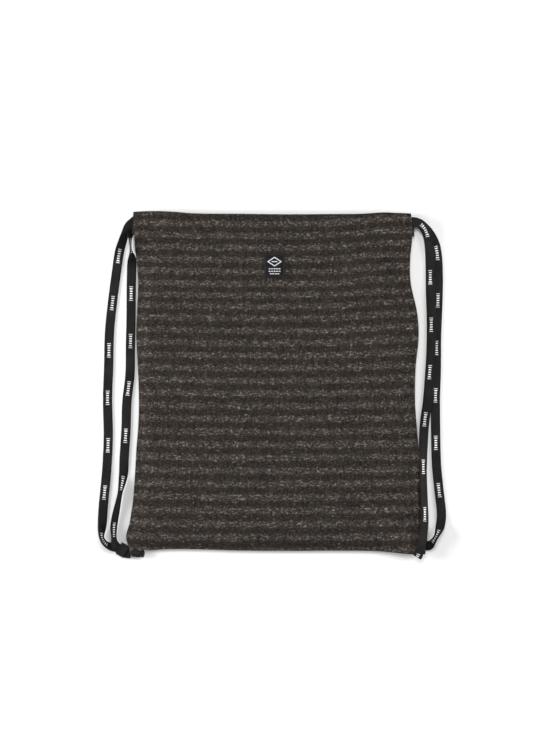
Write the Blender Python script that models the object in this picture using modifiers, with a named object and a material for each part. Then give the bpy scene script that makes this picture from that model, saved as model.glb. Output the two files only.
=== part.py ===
"""Drawstring gym sack lying flat: two cloth panels, a woven label and two tape drawcords.

Metres, +Z up. The sack lies on z = 0 with its mouth towards +Y and its front face up.
"""

from math import ceil, cos, hypot, pi, radians, sin

import bmesh
import bpy
from mathutils import Vector

# Driving dimensions of the cloth
BAG_WIDTH = 0.383
BAG_HEIGHT = 0.433
BAG_MIDDLE_X = 0.0045
BAG_MIDDLE_Y = 0.0022
CLOTH = 0.0013
PUFF = 0.0145
SEAM_RISE = 0.0030
SEAM_GAP = 0.0003
FRONT_SHOULDER = 0.024
BACK_SHOULDER = 0.014
MOUTH_GAP = 0.0045
HEM_SHOULDER = 0.090
HEM_BLEND = 0.060
HEM_STEP = 0.007
BACK_PEEK = 0.0018

# Driving dimensions of the tape, its tunnels and its knots
TAPE_WIDTH = 0.012
TAPE = 0.0009
TAPE_CLEARANCE = 0.0003
LANE_CLEARANCE = 0.0024
TAPE_STEP = 0.045
KNOT_LENGTH = 0.020
KNOT_WIDTH = 0.0115
KNOT_HEIGHT = 0.0105
HIDDEN_KNOT_HEIGHT = 0.0066
KNOT_GROOVE = 0.09
CORNER_LIFT = 0.0074
LIFT_REACH = 0.044

# Driving dimensions of the label and the corner tabs
LABEL_WIDTH = 0.026
LABEL_HEIGHT = 0.030
LABEL = 0.0008
LABEL_CORNER = 0.0012
LABEL_FROM_MOUTH = 0.0672
LABEL_OFF_MIDDLE = -0.0015
TAB_LENGTH = 0.0165
FLOOR_CLEARANCE = 0.0003

# Sizes that follow from these
TUNNEL_GAP = 2 * TAPE + 3 * TAPE_CLEARANCE
TUNNEL_DEPTH = 2 * TAPE_WIDTH + LANE_CLEARANCE
HEM_STACK = 2 * CLOTH + TUNNEL_GAP
HEM_DEPTH = TUNNEL_DEPTH + 2 * CLOTH
HEM_TOP = 2 * HEM_STACK + MOUTH_GAP
TAB_HOLE = 2 * TAPE + 3 * TAPE_CLEARANCE

# The edges, as shares of half the bag's width: up the bag, from the bottom seam to the mouth
SIDES = (
    # height, left, right
    (0.000, -0.983, 1.000),
    (0.030, -1.000, 0.998),
    (0.070, -0.977, 0.993),
    (0.140, -0.953, 0.983),
    (0.210, -0.941, 0.969),
    (0.290, -0.931, 0.960),
    (0.370, -0.917, 0.943),
    (0.450, -0.914, 0.931),
    (0.550, -0.922, 0.935),
    (0.640, -0.932, 0.955),
    (0.710, -0.925, 0.945),
    (0.800, -0.919, 0.901),
    (0.870, -0.934, 0.898),
    (0.935, -0.946, 0.912),
    (1.000, -0.954, 0.906),
)
# The same along the bag, as shares of its height: how far each end's edge stands above its line
ENDS = (
    # across, bottom, mouth
    (-1.00, 0.0104, 0.0020),
    (-0.88, 0.0020, 0.0038),
    (-0.75, 0.0050, 0.0030),
    (-0.55, 0.0045, -0.0030),
    (-0.25, 0.0010, -0.0040),
    (0.10, 0.0000, -0.0055),
    (0.40, 0.0006, -0.0050),
    (0.65, -0.0004, -0.0040),
    (0.80, -0.0055, 0.0000),
    (0.92, -0.0098, -0.0020),
    (1.00, -0.0095, -0.0030),
)
# Folds of the front panel: from one place to another, in shares of half the width and of the height
FOLDS = (
    # from_across, from_up, to_across, to_up, height, half_width
    (-0.78, 0.90, -0.30, 0.62, 0.0011, 0.017),
    (0.80, 0.90, 0.42, 0.66, 0.0012, 0.018),
    (0.88, 0.64, 0.35, 0.52, 0.0012, 0.022),
    (-0.86, 0.52, -0.40, 0.44, -0.0010, 0.020),
    (0.86, 0.76, 0.50, 0.80, -0.0012, 0.014),
    (0.92, 0.30, 0.48, 0.14, 0.0011, 0.018),
    (0.66, 0.03, 0.52, 0.34, -0.0010, 0.015),
    (-0.90, 0.06, -0.52, 0.26, 0.0010, 0.017),
    (-0.15, 0.40, 0.20, 0.16, -0.0008, 0.030),
)

COLUMNS = 22
BODY_ROWS = 17
# Columns, counted from each edge, that a tape in a tunnel passes without a point of its own
SKIPPED_COLUMNS = (2, 4)

# Routes of the free tape, from each corner's knot up to the mouth, chosen by hand.
# heading and lean turn the tape's width: a lean of 0 is flat and 90 is on its edge
LEFT_OUTER = (
    # x, y, z, heading, lean
    (-0.1831, -0.2189, 0.0029, 260, 0),
    (-0.1881, -0.2190, 0.0019, 249, 0),
    (-0.1930, -0.2157, 0.0020, 240, 0),
    (-0.1996, -0.2119, 0.0020, 242, 0),
    (-0.2048, -0.2106, 0.0029, 262, 18),
    (-0.2104, -0.2092, 0.0046, 250, 45),
    (-0.2160, -0.2050, 0.0052, 224, 60),
    (-0.2198, -0.1965, 0.0052, 195, 60),
    (-0.2190, -0.1815, 0.0028, 182, 22),
    (-0.2176, -0.1555, 0.0013, 180, 0),
    (-0.2134, -0.1116, 0.0013, 180, 0),
    (-0.2114, -0.0678, 0.0013, 180, 0),
    (-0.2123, -0.0213, 0.0013, 180, 0),
    (-0.2109, 0.0225, 0.0013, 180, 0),
    (-0.2098, 0.0664, 0.0013, 180, 0),
    (-0.2056, 0.1077, 0.0013, 180, 0),
    (-0.2008, 0.1438, 0.0013, 180, 0),
    (-0.1972, 0.1683, 0.0018, 178, 8),
    (-0.1950, 0.1835, 0.0042, 168, 22),
    (-0.1925, 0.1965, 0.0072, 152, 28),
    (-0.1880, 0.2079, 0.0080, 124, 9),
    (-0.1812, 0.2122, 0.0077, 95, 0),
)
LEFT_INNER = (
    (-0.1831, -0.2189, 0.0041, 260, 0),
    (-0.1881, -0.2190, 0.0031, 249, 0),
    (-0.1930, -0.2157, 0.0032, 240, 0),
    (-0.1996, -0.2119, 0.0032, 238, 0),
    (-0.2028, -0.2070, 0.0046, 216, 30),
    (-0.2038, -0.1985, 0.0058, 195, 60),
    (-0.2040, -0.1839, 0.0048, 182, 44),
    (-0.2009, -0.1658, 0.0048, 167, 46),
    (-0.1956, -0.1400, 0.0056, 167, 62),
    (-0.1917, -0.1168, 0.0026, 173, 18),
    (-0.1909, -0.0962, 0.0013, 178, 0),
    (-0.1886, -0.0600, 0.0013, 180, 0),
    (-0.1874, -0.0239, 0.0013, 180, 0),
    (-0.1834, 0.0122, 0.0013, 180, 0),
    (-0.1828, 0.0483, 0.0013, 180, 0),
    (-0.1820, 0.0844, 0.0013, 180, 0),
    (-0.1818, 0.1206, 0.0013, 180, 0),
    (-0.1822, 0.1489, 0.0014, 180, 4),
    (-0.1830, 0.1600, 0.0036, 180, 32),
    (-0.1840, 0.1700, 0.0064, 180, 78),
    (-0.1846, 0.1800, 0.0066, 180, 84),
    (-0.1848, 0.1905, 0.0058, 172, 66),
    (-0.1844, 0.2010, 0.0036, 150, 18),
    (-0.1832, 0.2098, 0.0026, 114, 2),
    (-0.1796, 0.2136, 0.0021, 93, 0),
)
RIGHT_OUTER = (
    (0.1866, -0.2063, 0.0026, -108, 0),
    (0.1922, -0.2079, 0.0020, -105, 0),
    (0.1992, -0.2096, 0.0020, -103, 0),
    (0.2046, -0.2072, 0.0035, -62, 30),
    (0.2086, -0.2012, 0.0052, -45, 60),
    (0.2122, -0.1950, 0.0050, -28, 60),
    (0.2165, -0.1835, 0.0026, -8, 20),
    (0.2181, -0.1658, 0.0013, 0, 0),
    (0.2147, -0.1349, 0.0013, 0, 0),
    (0.2116, -0.1013, 0.0013, 0, 0),
    (0.2107, -0.0626, 0.0013, 0, 0),
    (0.2104, -0.0213, 0.0013, 0, 0),
    (0.2116, 0.0199, 0.0013, 0, 0),
    (0.2119, 0.0612, 0.0013, 0, 0),
    (0.2135, 0.1025, 0.0013, 0, 0),
    (0.2141, 0.1412, 0.0013, 0, 0),
    (0.2122, 0.1700, 0.0013, 3, 2),
    (0.2080, 0.1870, 0.0016, 12, 4),
    (0.2012, 0.1995, 0.0022, 32, 4),
    (0.1930, 0.2085, 0.0030, 55, 3),
    (0.1860, 0.2120, 0.0032, 80, 0),
)
RIGHT_INNER = (
    (0.1886, -0.2172, 0.0058, -32, 0),
    (0.1872, -0.2206, 0.0058, -32, 0),
    (0.1860, -0.2231, 0.0090, -32, 0),
    (0.1871, -0.2211, 0.0125, -31, 0),
    (0.1900, -0.2132, 0.0137, -28, -6),
    (0.1926, -0.2030, 0.0136, -14, -18),
    (0.1951, -0.1865, 0.0108, -3, -27),
    (0.1962, -0.1684, 0.0072, 0, -34),
    (0.1954, -0.1426, 0.0056, 0, -38),
    (0.1944, -0.1116, 0.0044, 0, -33),
    (0.1948, -0.0807, 0.0027, 0, -16),
    (0.1962, -0.0523, 0.0014, 0, 0),
    (0.2000, -0.0239, 0.0021, 0, 8),
    (0.2027, 0.0096, 0.0024, 0, 11),
    (0.2047, 0.0457, 0.0026, 0, 14),
    (0.2050, 0.0844, 0.0025, 0, 12),
    (0.2039, 0.1206, 0.0022, 0, 9),
    (0.2036, 0.1515, 0.0023, 0, 9),
    (0.2018, 0.1740, 0.0034, 4, 12),
    (0.1978, 0.1905, 0.0058, 16, 14),
    (0.1918, 0.2030, 0.0080, 38, 8),
    (0.1848, 0.2102, 0.0088, 68, 2),
)
HIDDEN_KNOT_AT = (0.1771, -0.2032)
HIDDEN_KNOT_HEADING = -20
LEFT_KNOT_AT = (-0.1742, -0.2186)
LEFT_KNOT_HEADING = -4
LEFT_TAB_AT = (-0.1886, -0.2078)
LEFT_TAB_HEADING = 240
RIGHT_TAB_AT = (0.1900, -0.2160)
RIGHT_TAB_HEADING = 75

COLOURS = {
    # name: base colour, roughness
    "knit": ((0.052, 0.044, 0.038), 0.92),
    "tape": ((0.018, 0.017, 0.016), 0.78),
    "label": ((0.010, 0.010, 0.011), 0.70),
}


def smooth(share):
    """0 to 1 with level ends."""
    share = min(1.0, max(0.0, share))
    return share * share * (3 - 2 * share)


def along(rows, at, column):
    """A column of a table read at a value of its first column, on a smooth curve through its rows."""
    last = len(rows) - 2
    k = max(0, min(last, sum(row[0] <= at for row in rows) - 1))
    before, start = rows[max(k - 1, 0)], rows[k]
    end, after = rows[k + 1], rows[min(k + 2, last + 1)]
    span = end[0] - start[0]
    t = min(1.0, max(0.0, (at - start[0]) / span))
    rise_in = (end[column] - before[column]) / (end[0] - before[0]) * span
    rise_out = (after[column] - start[column]) / (after[0] - start[0]) * span
    return (
        (2 * t**3 - 3 * t**2 + 1) * start[column]
        + (t**3 - 2 * t**2 + t) * rise_in
        + (3 * t**2 - 2 * t**3) * end[column]
        + (t**3 - t**2) * rise_out
    )


def end_line(across, column, base):
    share = along(ENDS, across, column)
    return BAG_MIDDLE_Y + base * BAG_HEIGHT / 2 + share * BAG_HEIGHT


def foot_y(across):
    return end_line(across, 1, -1)


def mouth_y(across):
    return end_line(across, 2, 1)


def edge_x(across, y):
    """World x of a place across the bag, -1 its left edge and 1 its right one."""
    up = (y - foot_y(across)) / (mouth_y(across) - foot_y(across))
    left, right = along(SIDES, up, 1), along(SIDES, up, 2)
    middle, half = (left + right) / 2, (right - left) / 2
    return BAG_MIDDLE_X + (middle + across * half) * BAG_WIDTH / 2


def from_mouth(across, y):
    return mouth_y(across) - y


def hem_share(across, y, reach):
    """1 in the hem, fading to 0 over the reach below it."""
    return smooth(1 - (from_mouth(across, y) - HEM_DEPTH) / reach)


def thickness(across, y):
    """Of one panel: a single cloth, or the whole hem with its tunnel."""
    return CLOTH + (HEM_STACK - CLOTH) * hem_share(across, y, HEM_STEP)


def seam_height(across, y):
    """Of the middle of the side seam, which climbs to meet the back hem's top."""
    body = SEAM_RISE + CLOTH + SEAM_GAP / 2
    hem = HEM_STACK + SEAM_GAP / 2
    return body + (hem - body) * hem_share(across, y, HEM_BLEND)


def rise(across, y, side, bottom):
    """0 at the sewn edges and 1 past the shoulders."""
    side_share = min(1.0, (1 - abs(across)) * BAG_WIDTH / 2 / side)
    bottom_share = min(1.0, max(0.0, y - foot_y(across)) / bottom)
    return sin(pi / 2 * side_share) * sin(pi / 2 * bottom_share)


def folds(across, y):
    up = (y - foot_y(across)) / BAG_HEIGHT
    here = Vector((across * BAG_WIDTH / 2, up * BAG_HEIGHT))
    height = 0
    for across_a, up_a, across_b, up_b, tall, half_width in FOLDS:
        start = Vector((across_a * BAG_WIDTH / 2, up_a * BAG_HEIGHT))
        run = Vector((across_b * BAG_WIDTH / 2, up_b * BAG_HEIGHT)) - start
        share = max(0.0, min(1.0, (here - start).dot(run) / run.length_squared))
        off = (here - start - run * share).length
        height += tall * sin(pi * (0.15 + 0.7 * share)) * smooth(1 - off / (2 * half_width))
    return height


def corner_lift(x, y):
    """The right bottom corner rests on the knot beneath it."""
    off = hypot(x - HIDDEN_KNOT_AT[0], y - HIDDEN_KNOT_AT[1]) / LIFT_REACH
    return CORNER_LIFT * cos(pi / 2 * min(1.0, off)) ** 2


def front_top(across, y):
    x = edge_x(across, y)
    hem = hem_share(across, y, HEM_BLEND)
    shoulder = FRONT_SHOULDER + (HEM_SHOULDER - FRONT_SHOULDER) * hem
    share = rise(across, y, shoulder, FRONT_SHOULDER)
    edge = seam_height(across, y) + SEAM_GAP / 2 + thickness(across, y)
    middle = PUFF + (HEM_TOP - PUFF) * hem + folds(across, y) * (1 - hem)
    return edge + (middle - edge) * share + corner_lift(x, y) * (1 - share)


def back_bottom(across, y):
    x = edge_x(across, y)
    share = rise(across, y, BACK_SHOULDER, BACK_SHOULDER)
    edge = seam_height(across, y) - SEAM_GAP / 2 - thickness(across, y)
    return edge * (1 - share) + corner_lift(x, y)


def column_places(count, end=1.0):
    """Places across the bag, closer together towards its edges."""
    return [end * sin(pi / 2 * (2 * k / count - 1)) for k in range(count + 1)]


def body_rows():
    """Shares from the bottom seam to the hem, closer together at the seam."""
    return [1 - cos(pi / 2 * k / BODY_ROWS) for k in range(BODY_ROWS + 1)]


def panel_rows(across, peek):
    """World y of each row of a panel at a place across it."""
    hem_line = mouth_y(across) - HEM_DEPTH
    below = hem_line - HEM_STEP - foot_y(across)
    rows = [foot_y(across) + below * share for share in body_rows()]
    steps = (HEM_STEP / 2, 0, -CLOTH, -HEM_DEPTH / 2, CLOTH - HEM_DEPTH, -HEM_DEPTH)
    return rows + [hem_line - step + peek for step in steps]


def collection(name):
    made = bpy.data.collections.new(name)
    bpy.context.scene.collection.children.link(made)
    return made


def material(name):
    colour, roughness = COLOURS[name]
    made = bpy.data.materials.new(name)
    made.use_nodes = True
    shader = made.node_tree.nodes["Principled BSDF"]
    shader.inputs["Base Color"].default_value = (*colour, 1)
    shader.inputs["Roughness"].default_value = roughness
    return made


def add_object(name, bm, group, finish):
    mesh = bpy.data.meshes.new(name)
    bm.normal_update()
    bm.to_mesh(mesh)
    bm.free()
    obj = bpy.data.objects.new(name, mesh)
    if finish:
        mesh.materials.append(finish)
    group.objects.link(obj)
    return obj


def grid_of(columns, rows):
    """A flat grid of this many cells, and its vertices as a list for each row."""
    bm = bmesh.new()
    bmesh.ops.create_grid(bm, x_segments=columns, y_segments=rows, size=1)
    ordered = sorted(bm.verts, key=lambda v: (round(v.co.y, 5), round(v.co.x, 5)))
    width = columns + 1
    return bm, [ordered[k : k + width] for k in range(0, len(ordered), width)]


def thicken(bm, depth_at):
    """Closes a sheet into a solid: its faces, drawn straight down by a depth for each vertex."""
    sheet = {vert: vert.co.copy() for vert in bm.verts}
    faces = list(bm.faces)
    if sum(face.normal.z for face in faces) < 0:
        bmesh.ops.reverse_faces(bm, faces=faces)
    depths = {tuple(round(c, 7) for c in co): depth_at[vert] for vert, co in sheet.items()}
    made = bmesh.ops.extrude_face_region(bm, geom=faces)
    lowered = [item for item in made["geom"] if isinstance(item, bmesh.types.BMVert)]
    for vert in lowered:
        vert.co.z -= depths[tuple(round(c, 7) for c in vert.co)]
    bmesh.ops.recalc_face_normals(bm, faces=bm.faces)


def panel(name, group, finish, is_front):
    peek = 0 if is_front else BACK_PEEK
    rows = len(panel_rows(0, peek)) - 1
    bm, grid = grid_of(COLUMNS, rows)
    depth_at = {}
    for column, across in enumerate(column_places(COLUMNS)):
        for row, y in enumerate(panel_rows(across, peek)):
            vert = grid[row][column]
            depth_at[vert] = thickness(across, y - (peek if row > BODY_ROWS else 0))
            low = back_bottom(across, y) + depth_at[vert]
            top = front_top(across, y) if is_front else low
            vert.co = (edge_x(across, y), y, top)
    bm.normal_update()
    thicken(bm, depth_at)
    return add_object(name, bm, group, finish)


def tunnel_floor(across, y, is_front):
    """Height of the lower cloth's inner face in a hem."""
    if is_front:
        return front_top(across, y) - HEM_STACK + CLOTH
    return back_bottom(across, y) + CLOTH


def cut_tunnel(obj, group, is_front):
    """Opens the hem from one end to the other."""
    past = 1.08
    peek = 0 if is_front else BACK_PEEK
    places = [-past] + column_places(COLUMNS) + [past]
    bm, grid = grid_of(len(places) - 1, 2)
    depth_at = {}
    for column, across in enumerate(places):
        inside = max(-1.0, min(1.0, across))
        reach = (across - inside) * BAG_WIDTH / 2
        for row, share in enumerate((0, 0.5, 1)):
            y = mouth_y(inside) - HEM_DEPTH + CLOTH + share * TUNNEL_DEPTH + peek
            top = tunnel_floor(inside, y, is_front) + TUNNEL_GAP
            grid[row][column].co = (edge_x(inside, y) + reach, y, top)
            depth_at[grid[row][column]] = TUNNEL_GAP
    bm.normal_update()
    thicken(bm, depth_at)
    cutter = add_object(obj.name + "_tunnel", bm, group, None)
    cutter.hide_render = True
    cutter.display_type = "WIRE"
    cut = obj.modifiers.new("tunnel", "BOOLEAN")
    cut.object = cutter
    cut.operation = "DIFFERENCE"


def label(group, finish):
    """A flat plate with rounded corners, just clear of the front panel."""
    x = BAG_MIDDLE_X + LABEL_OFF_MIDDLE
    y = BAG_MIDDLE_Y + BAG_HEIGHT / 2 - LABEL_FROM_MOUTH
    under = [
        front_top((LABEL_OFF_MIDDLE + sx * LABEL_WIDTH / 2) / (BAG_WIDTH / 2), y + sy * LABEL_HEIGHT / 2)
        for sx in (-1, 0, 1)
        for sy in (-1, 0, 1)
    ]
    bm = bmesh.new()
    bmesh.ops.create_cube(bm, size=1)
    bmesh.ops.scale(bm, vec=(LABEL_WIDTH, LABEL_HEIGHT, LABEL), verts=bm.verts)
    base = max(under) + SEAM_GAP
    bmesh.ops.translate(bm, vec=(x, y, base + LABEL / 2), verts=bm.verts)
    upright = [e for e in bm.edges if abs(e.verts[0].co.z - e.verts[1].co.z) > LABEL / 2]
    bmesh.ops.bevel(
        bm, geom=upright, offset=LABEL_CORNER, segments=3, profile=0.5, affect="EDGES", material=-1
    )
    return add_object("label", bm, group, finish)


def tunnel_route(from_share, to_share, is_front, level, rightwards):
    """Rows of a route through a tunnel, its lane as shares of the tunnel's depth at each end."""
    peek = 0 if is_front else BACK_PEEK
    rows = []
    for column, across in enumerate(column_places(COLUMNS)):
        if column in (0, COLUMNS) or min(column, COLUMNS - column) in SKIPPED_COLUMNS:
            continue
        lane = from_share + (to_share - from_share) * (across + 1) / 2
        room = TUNNEL_DEPTH - TAPE_WIDTH - 2 * TAPE_CLEARANCE
        low = mouth_y(across) - HEM_DEPTH + CLOTH + TAPE_CLEARANCE + TAPE_WIDTH / 2
        y = low + lane * room + peek
        lift = TAPE_CLEARANCE + TAPE / 2 + level * (TAPE + TAPE_CLEARANCE)
        rows.append((edge_x(across, y), y, tunnel_floor(across, y, is_front) + lift, 90, 0))
    return rows if rightwards else rows[::-1]


def hairpin(front_row, back_row, side):
    """Rows of the turn round the end of the hem, from the front tunnel to the back one."""
    middle_z = (front_row[2] + back_row[2]) / 2
    reach = (front_row[2] - back_row[2]) / 2
    turn_x = edge_x(side, front_row[1]) + side * TAPE_CLEARANCE
    rows = []
    for angle in (60, 20, -20, -60):
        share = (1 - sin(radians(angle))) / 2
        y = front_row[1] + (back_row[1] - front_row[1]) * share
        x = turn_x + side * reach * cos(radians(angle))
        rows.append((x, y, middle_z + reach * sin(radians(angle)), 90, 0))
    return rows


def route_curve(rows):
    """Stations of a smooth curve through a route's rows: place and width direction of each."""
    stations = []
    for k in range(len(rows) - 1):
        before, start = rows[max(k - 1, 0)], rows[k]
        end, after = rows[k + 1], rows[min(k + 2, len(rows) - 1)]
        steps = ceil((Vector(end[:3]) - Vector(start[:3])).length / TAPE_STEP)
        for step in range(steps):
            t = step / steps
            stations.append(
                [
                    0.5
                    * (
                        2 * b
                        + (c - a) * t
                        + (2 * a - 5 * b + 4 * c - d) * t**2
                        + (3 * b - a - 3 * c + d) * t**3
                    )
                    for a, b, c, d in zip(before, start, end, after)
                ]
            )
    return stations + [list(rows[-1])]


def lowest(lean):
    """Height of a tape's middle that keeps its lower edge just off the floor."""
    return FLOOR_CLEARANCE + (abs(sin(lean)) * TAPE_WIDTH + abs(cos(lean)) * TAPE) / 2


def tape(name, rows, group, finish):
    """A flat strip that follows a route, with its thickness from Solidify."""
    stations = route_curve(rows)
    bm, grid = grid_of(1, len(stations) - 1)
    places = [Vector((x, y, max(z, lowest(radians(lean))))) for x, y, z, _, lean in stations]
    for k, station in enumerate(stations):
        tangent = (places[min(k + 1, len(places) - 1)] - places[max(k - 1, 0)]).normalized()
        heading, lean = radians(station[3]), radians(station[4])
        width = Vector((cos(heading) * cos(lean), sin(heading) * cos(lean), sin(lean)))
        width = (width - tangent * width.dot(tangent)).normalized()
        grid[k][0].co = places[k] - width * TAPE_WIDTH / 2
        grid[k][1].co = places[k] + width * TAPE_WIDTH / 2
    obj = add_object(name, bm, group, finish)
    thick = obj.modifiers.new("thickness", "SOLIDIFY")
    thick.thickness = TAPE
    thick.offset = 0
    return obj


def knot(name, place, heading, height, group, finish):
    """A pulled-tight knot: a rounded lump with the grooves of its wraps."""
    bm = bmesh.new()
    bmesh.ops.create_uvsphere(bm, u_segments=20, v_segments=12, radius=0.5)
    for vert in bm.verts:
        around = Vector((vert.co.y, vert.co.z)).angle_signed(Vector((1, 0)), 0)
        wrap = sin(3 * around + 9 * vert.co.x) * (1 - 4 * vert.co.x**2)
        vert.co *= 1 + KNOT_GROOVE * (wrap - 1)
        vert.co = (vert.co.x * KNOT_LENGTH, vert.co.y * KNOT_WIDTH, vert.co.z * height)
    obj = add_object(name, bm, group, finish)
    obj.location = (*place, FLOOR_CLEARANCE + height / 2)
    obj.rotation_euler.z = radians(heading)
    return obj


def corner_tab(name, place, heading, group, finish):
    """A short folded tape: two layers joined at the fold, with a flat hole between them."""
    gap = TAB_HOLE
    outline = (
        (0, 0),
        (TAB_LENGTH, 0),
        (TAB_LENGTH, gap + 2 * TAPE),
        (0, gap + 2 * TAPE),
        (0, gap + TAPE),
        (TAB_LENGTH - TAPE, gap + TAPE),
        (TAB_LENGTH - TAPE, TAPE),
        (0, TAPE),
    )
    bm = bmesh.new()
    verts = [bm.verts.new((x, -TAPE_WIDTH / 2, z)) for x, z in outline]
    face = bm.faces.new(verts)
    made = bmesh.ops.extrude_face_region(bm, geom=[face])
    moved = [item for item in made["geom"] if isinstance(item, bmesh.types.BMVert)]
    bmesh.ops.translate(bm, vec=(0, TAPE_WIDTH, 0), verts=moved)
    bmesh.ops.recalc_face_normals(bm, faces=bm.faces)
    obj = add_object(name, bm, group, finish)
    obj.location = (*place, FLOOR_CLEARANCE)
    obj.rotation_euler.z = radians(heading)
    return obj


def drawcord(name, outer, inner, lanes, level, side, group, finish):
    """One whole loop of tape: up one strand, through both tunnels and down the other strand."""
    rightwards = side < 0
    front_lane, back_lane = lanes
    front = tunnel_route(*front_lane, True, level, rightwards)
    back = tunnel_route(*back_lane, False, level, not rightwards)
    turn = hairpin(front[-1], back[0], -side)
    tape(name, list(outer) + front + turn + back + list(inner)[::-1], group, finish)


def build():
    for obj in list(bpy.data.objects):
        bpy.data.objects.remove(obj)
    sack, cutters = collection("gym_sack"), collection("cutters")
    knit, woven, patch = material("knit"), material("tape"), material("label")

    for name, is_front in (("front_panel", True), ("back_panel", False)):
        cloth = panel(name, sack, knit, is_front)
        cut_tunnel(cloth, cutters, is_front)
    label(sack, patch)

    falling, climbing = (1, 0), (0, 1)
    drawcord("left_drawcord", LEFT_OUTER, LEFT_INNER, (falling, falling), 0, -1, sack, woven)
    drawcord("right_drawcord", RIGHT_INNER, RIGHT_OUTER, (climbing, climbing), 1, 1, sack, woven)

    knot("left_knot", LEFT_KNOT_AT, LEFT_KNOT_HEADING, KNOT_HEIGHT, sack, woven)
    knot("right_knot", HIDDEN_KNOT_AT, HIDDEN_KNOT_HEADING, HIDDEN_KNOT_HEIGHT, sack, woven)
    corner_tab("left_corner_tab", LEFT_TAB_AT, LEFT_TAB_HEADING, sack, woven)
    corner_tab("right_corner_tab", RIGHT_TAB_AT, RIGHT_TAB_HEADING, sack, woven)


build()
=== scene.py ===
"""Dresses the drawstring gym sack: knit cloth, flat tape drawcords, knots, tabs, label and studio.

Metres, +Z up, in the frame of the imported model. Laid out as an add-on and run as a script.
"""

from itertools import accumulate
from math import ceil, cos, exp, hypot, pi, radians, sin

import bmesh
import bpy
from bpy.props import FloatProperty, FloatVectorProperty, PointerProperty
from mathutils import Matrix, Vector, noise


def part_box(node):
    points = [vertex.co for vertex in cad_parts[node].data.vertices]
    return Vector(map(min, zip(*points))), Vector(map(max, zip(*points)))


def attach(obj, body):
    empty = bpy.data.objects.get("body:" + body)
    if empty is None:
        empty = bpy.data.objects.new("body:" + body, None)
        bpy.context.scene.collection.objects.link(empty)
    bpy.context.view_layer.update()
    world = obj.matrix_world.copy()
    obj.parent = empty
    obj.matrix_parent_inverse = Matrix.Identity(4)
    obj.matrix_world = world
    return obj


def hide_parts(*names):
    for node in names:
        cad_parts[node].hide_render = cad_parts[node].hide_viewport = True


bl_info = {
    "name": "Drawstring gym sack",
    "version": (1, 0, 0),
    "blender": (4, 5, 0),
    "location": "View3D > Sidebar > Gym sack",
    "description": "Builds the cloth, tape and studio of a flat-lying drawstring gym sack",
    "category": "Object",
}

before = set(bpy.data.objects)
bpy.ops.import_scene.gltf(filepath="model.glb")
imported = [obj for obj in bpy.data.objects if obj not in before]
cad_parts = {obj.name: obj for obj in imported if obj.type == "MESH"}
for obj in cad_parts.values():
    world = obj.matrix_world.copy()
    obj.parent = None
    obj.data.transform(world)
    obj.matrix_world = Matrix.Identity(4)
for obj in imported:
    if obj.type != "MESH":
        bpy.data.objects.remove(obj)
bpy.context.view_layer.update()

# Driving dimensions of the cloth
BAG_WIDTH = 0.383
BAG_HEIGHT = 0.433
BAG_MIDDLE_X = 0.0045
BAG_MIDDLE_Y = 0.0022
CLOTH = 0.0013
PUFF = 0.0145
SEAM_RISE = 0.0030
SEAM_GAP = 0.0003
FRONT_SHOULDER = 0.024
BACK_SHOULDER = 0.014
MOUTH_GAP = 0.0045
HEM_SHOULDER = 0.090
HEM_BLEND = 0.060
HEM_STEP = 0.007
BACK_PEEK = 0.0018

# Driving dimensions of the tape, its tunnels and its knots
TAPE_WIDTH = 0.012
TAPE = 0.0009
TAPE_CLEARANCE = 0.0003
LANE_CLEARANCE = 0.0024
KNOT_LENGTH = 0.020
KNOT_WIDTH = 0.0115
KNOT_HEIGHT = 0.0105
HIDDEN_KNOT_HEIGHT = 0.0066
CORNER_LIFT = 0.0074
LIFT_REACH = 0.044

# Driving dimensions of the label and the corner tabs
LABEL_WIDTH = 0.026
LABEL_CORNER = 0.0012
TAB_LENGTH = 0.0165
FLOOR_CLEARANCE = 0.0003

# Sizes that follow from these
TUNNEL_GAP = 2 * TAPE + 3 * TAPE_CLEARANCE
TUNNEL_DEPTH = 2 * TAPE_WIDTH + LANE_CLEARANCE
HEM_STACK = 2 * CLOTH + TUNNEL_GAP
HEM_DEPTH = TUNNEL_DEPTH + 2 * CLOTH
HEM_TOP = 2 * HEM_STACK + MOUTH_GAP
TAB_HOLE = 2 * TAPE + 3 * TAPE_CLEARANCE

# The edges, as shares of half the bag's width: up the bag, from the bottom seam to the mouth
SIDES = (
    # height, left, right
    (0.000, -0.983, 1.000),
    (0.030, -1.000, 0.998),
    (0.070, -0.977, 0.993),
    (0.140, -0.953, 0.983),
    (0.210, -0.941, 0.969),
    (0.290, -0.931, 0.960),
    (0.370, -0.917, 0.943),
    (0.450, -0.914, 0.931),
    (0.550, -0.922, 0.935),
    (0.640, -0.932, 0.955),
    (0.710, -0.925, 0.945),
    (0.800, -0.919, 0.901),
    (0.870, -0.934, 0.898),
    (0.935, -0.946, 0.912),
    (1.000, -0.954, 0.906),
)
# The same along the bag, as shares of its height: how far each end's edge stands above its line
ENDS = (
    # across, bottom, mouth
    (-1.00, 0.0104, 0.0020),
    (-0.88, 0.0020, 0.0038),
    (-0.75, 0.0050, 0.0030),
    (-0.55, 0.0045, -0.0030),
    (-0.25, 0.0010, -0.0040),
    (0.10, 0.0000, -0.0055),
    (0.40, 0.0006, -0.0050),
    (0.65, -0.0004, -0.0040),
    (0.80, -0.0055, 0.0000),
    (0.92, -0.0098, -0.0020),
    (1.00, -0.0095, -0.0030),
)
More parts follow.
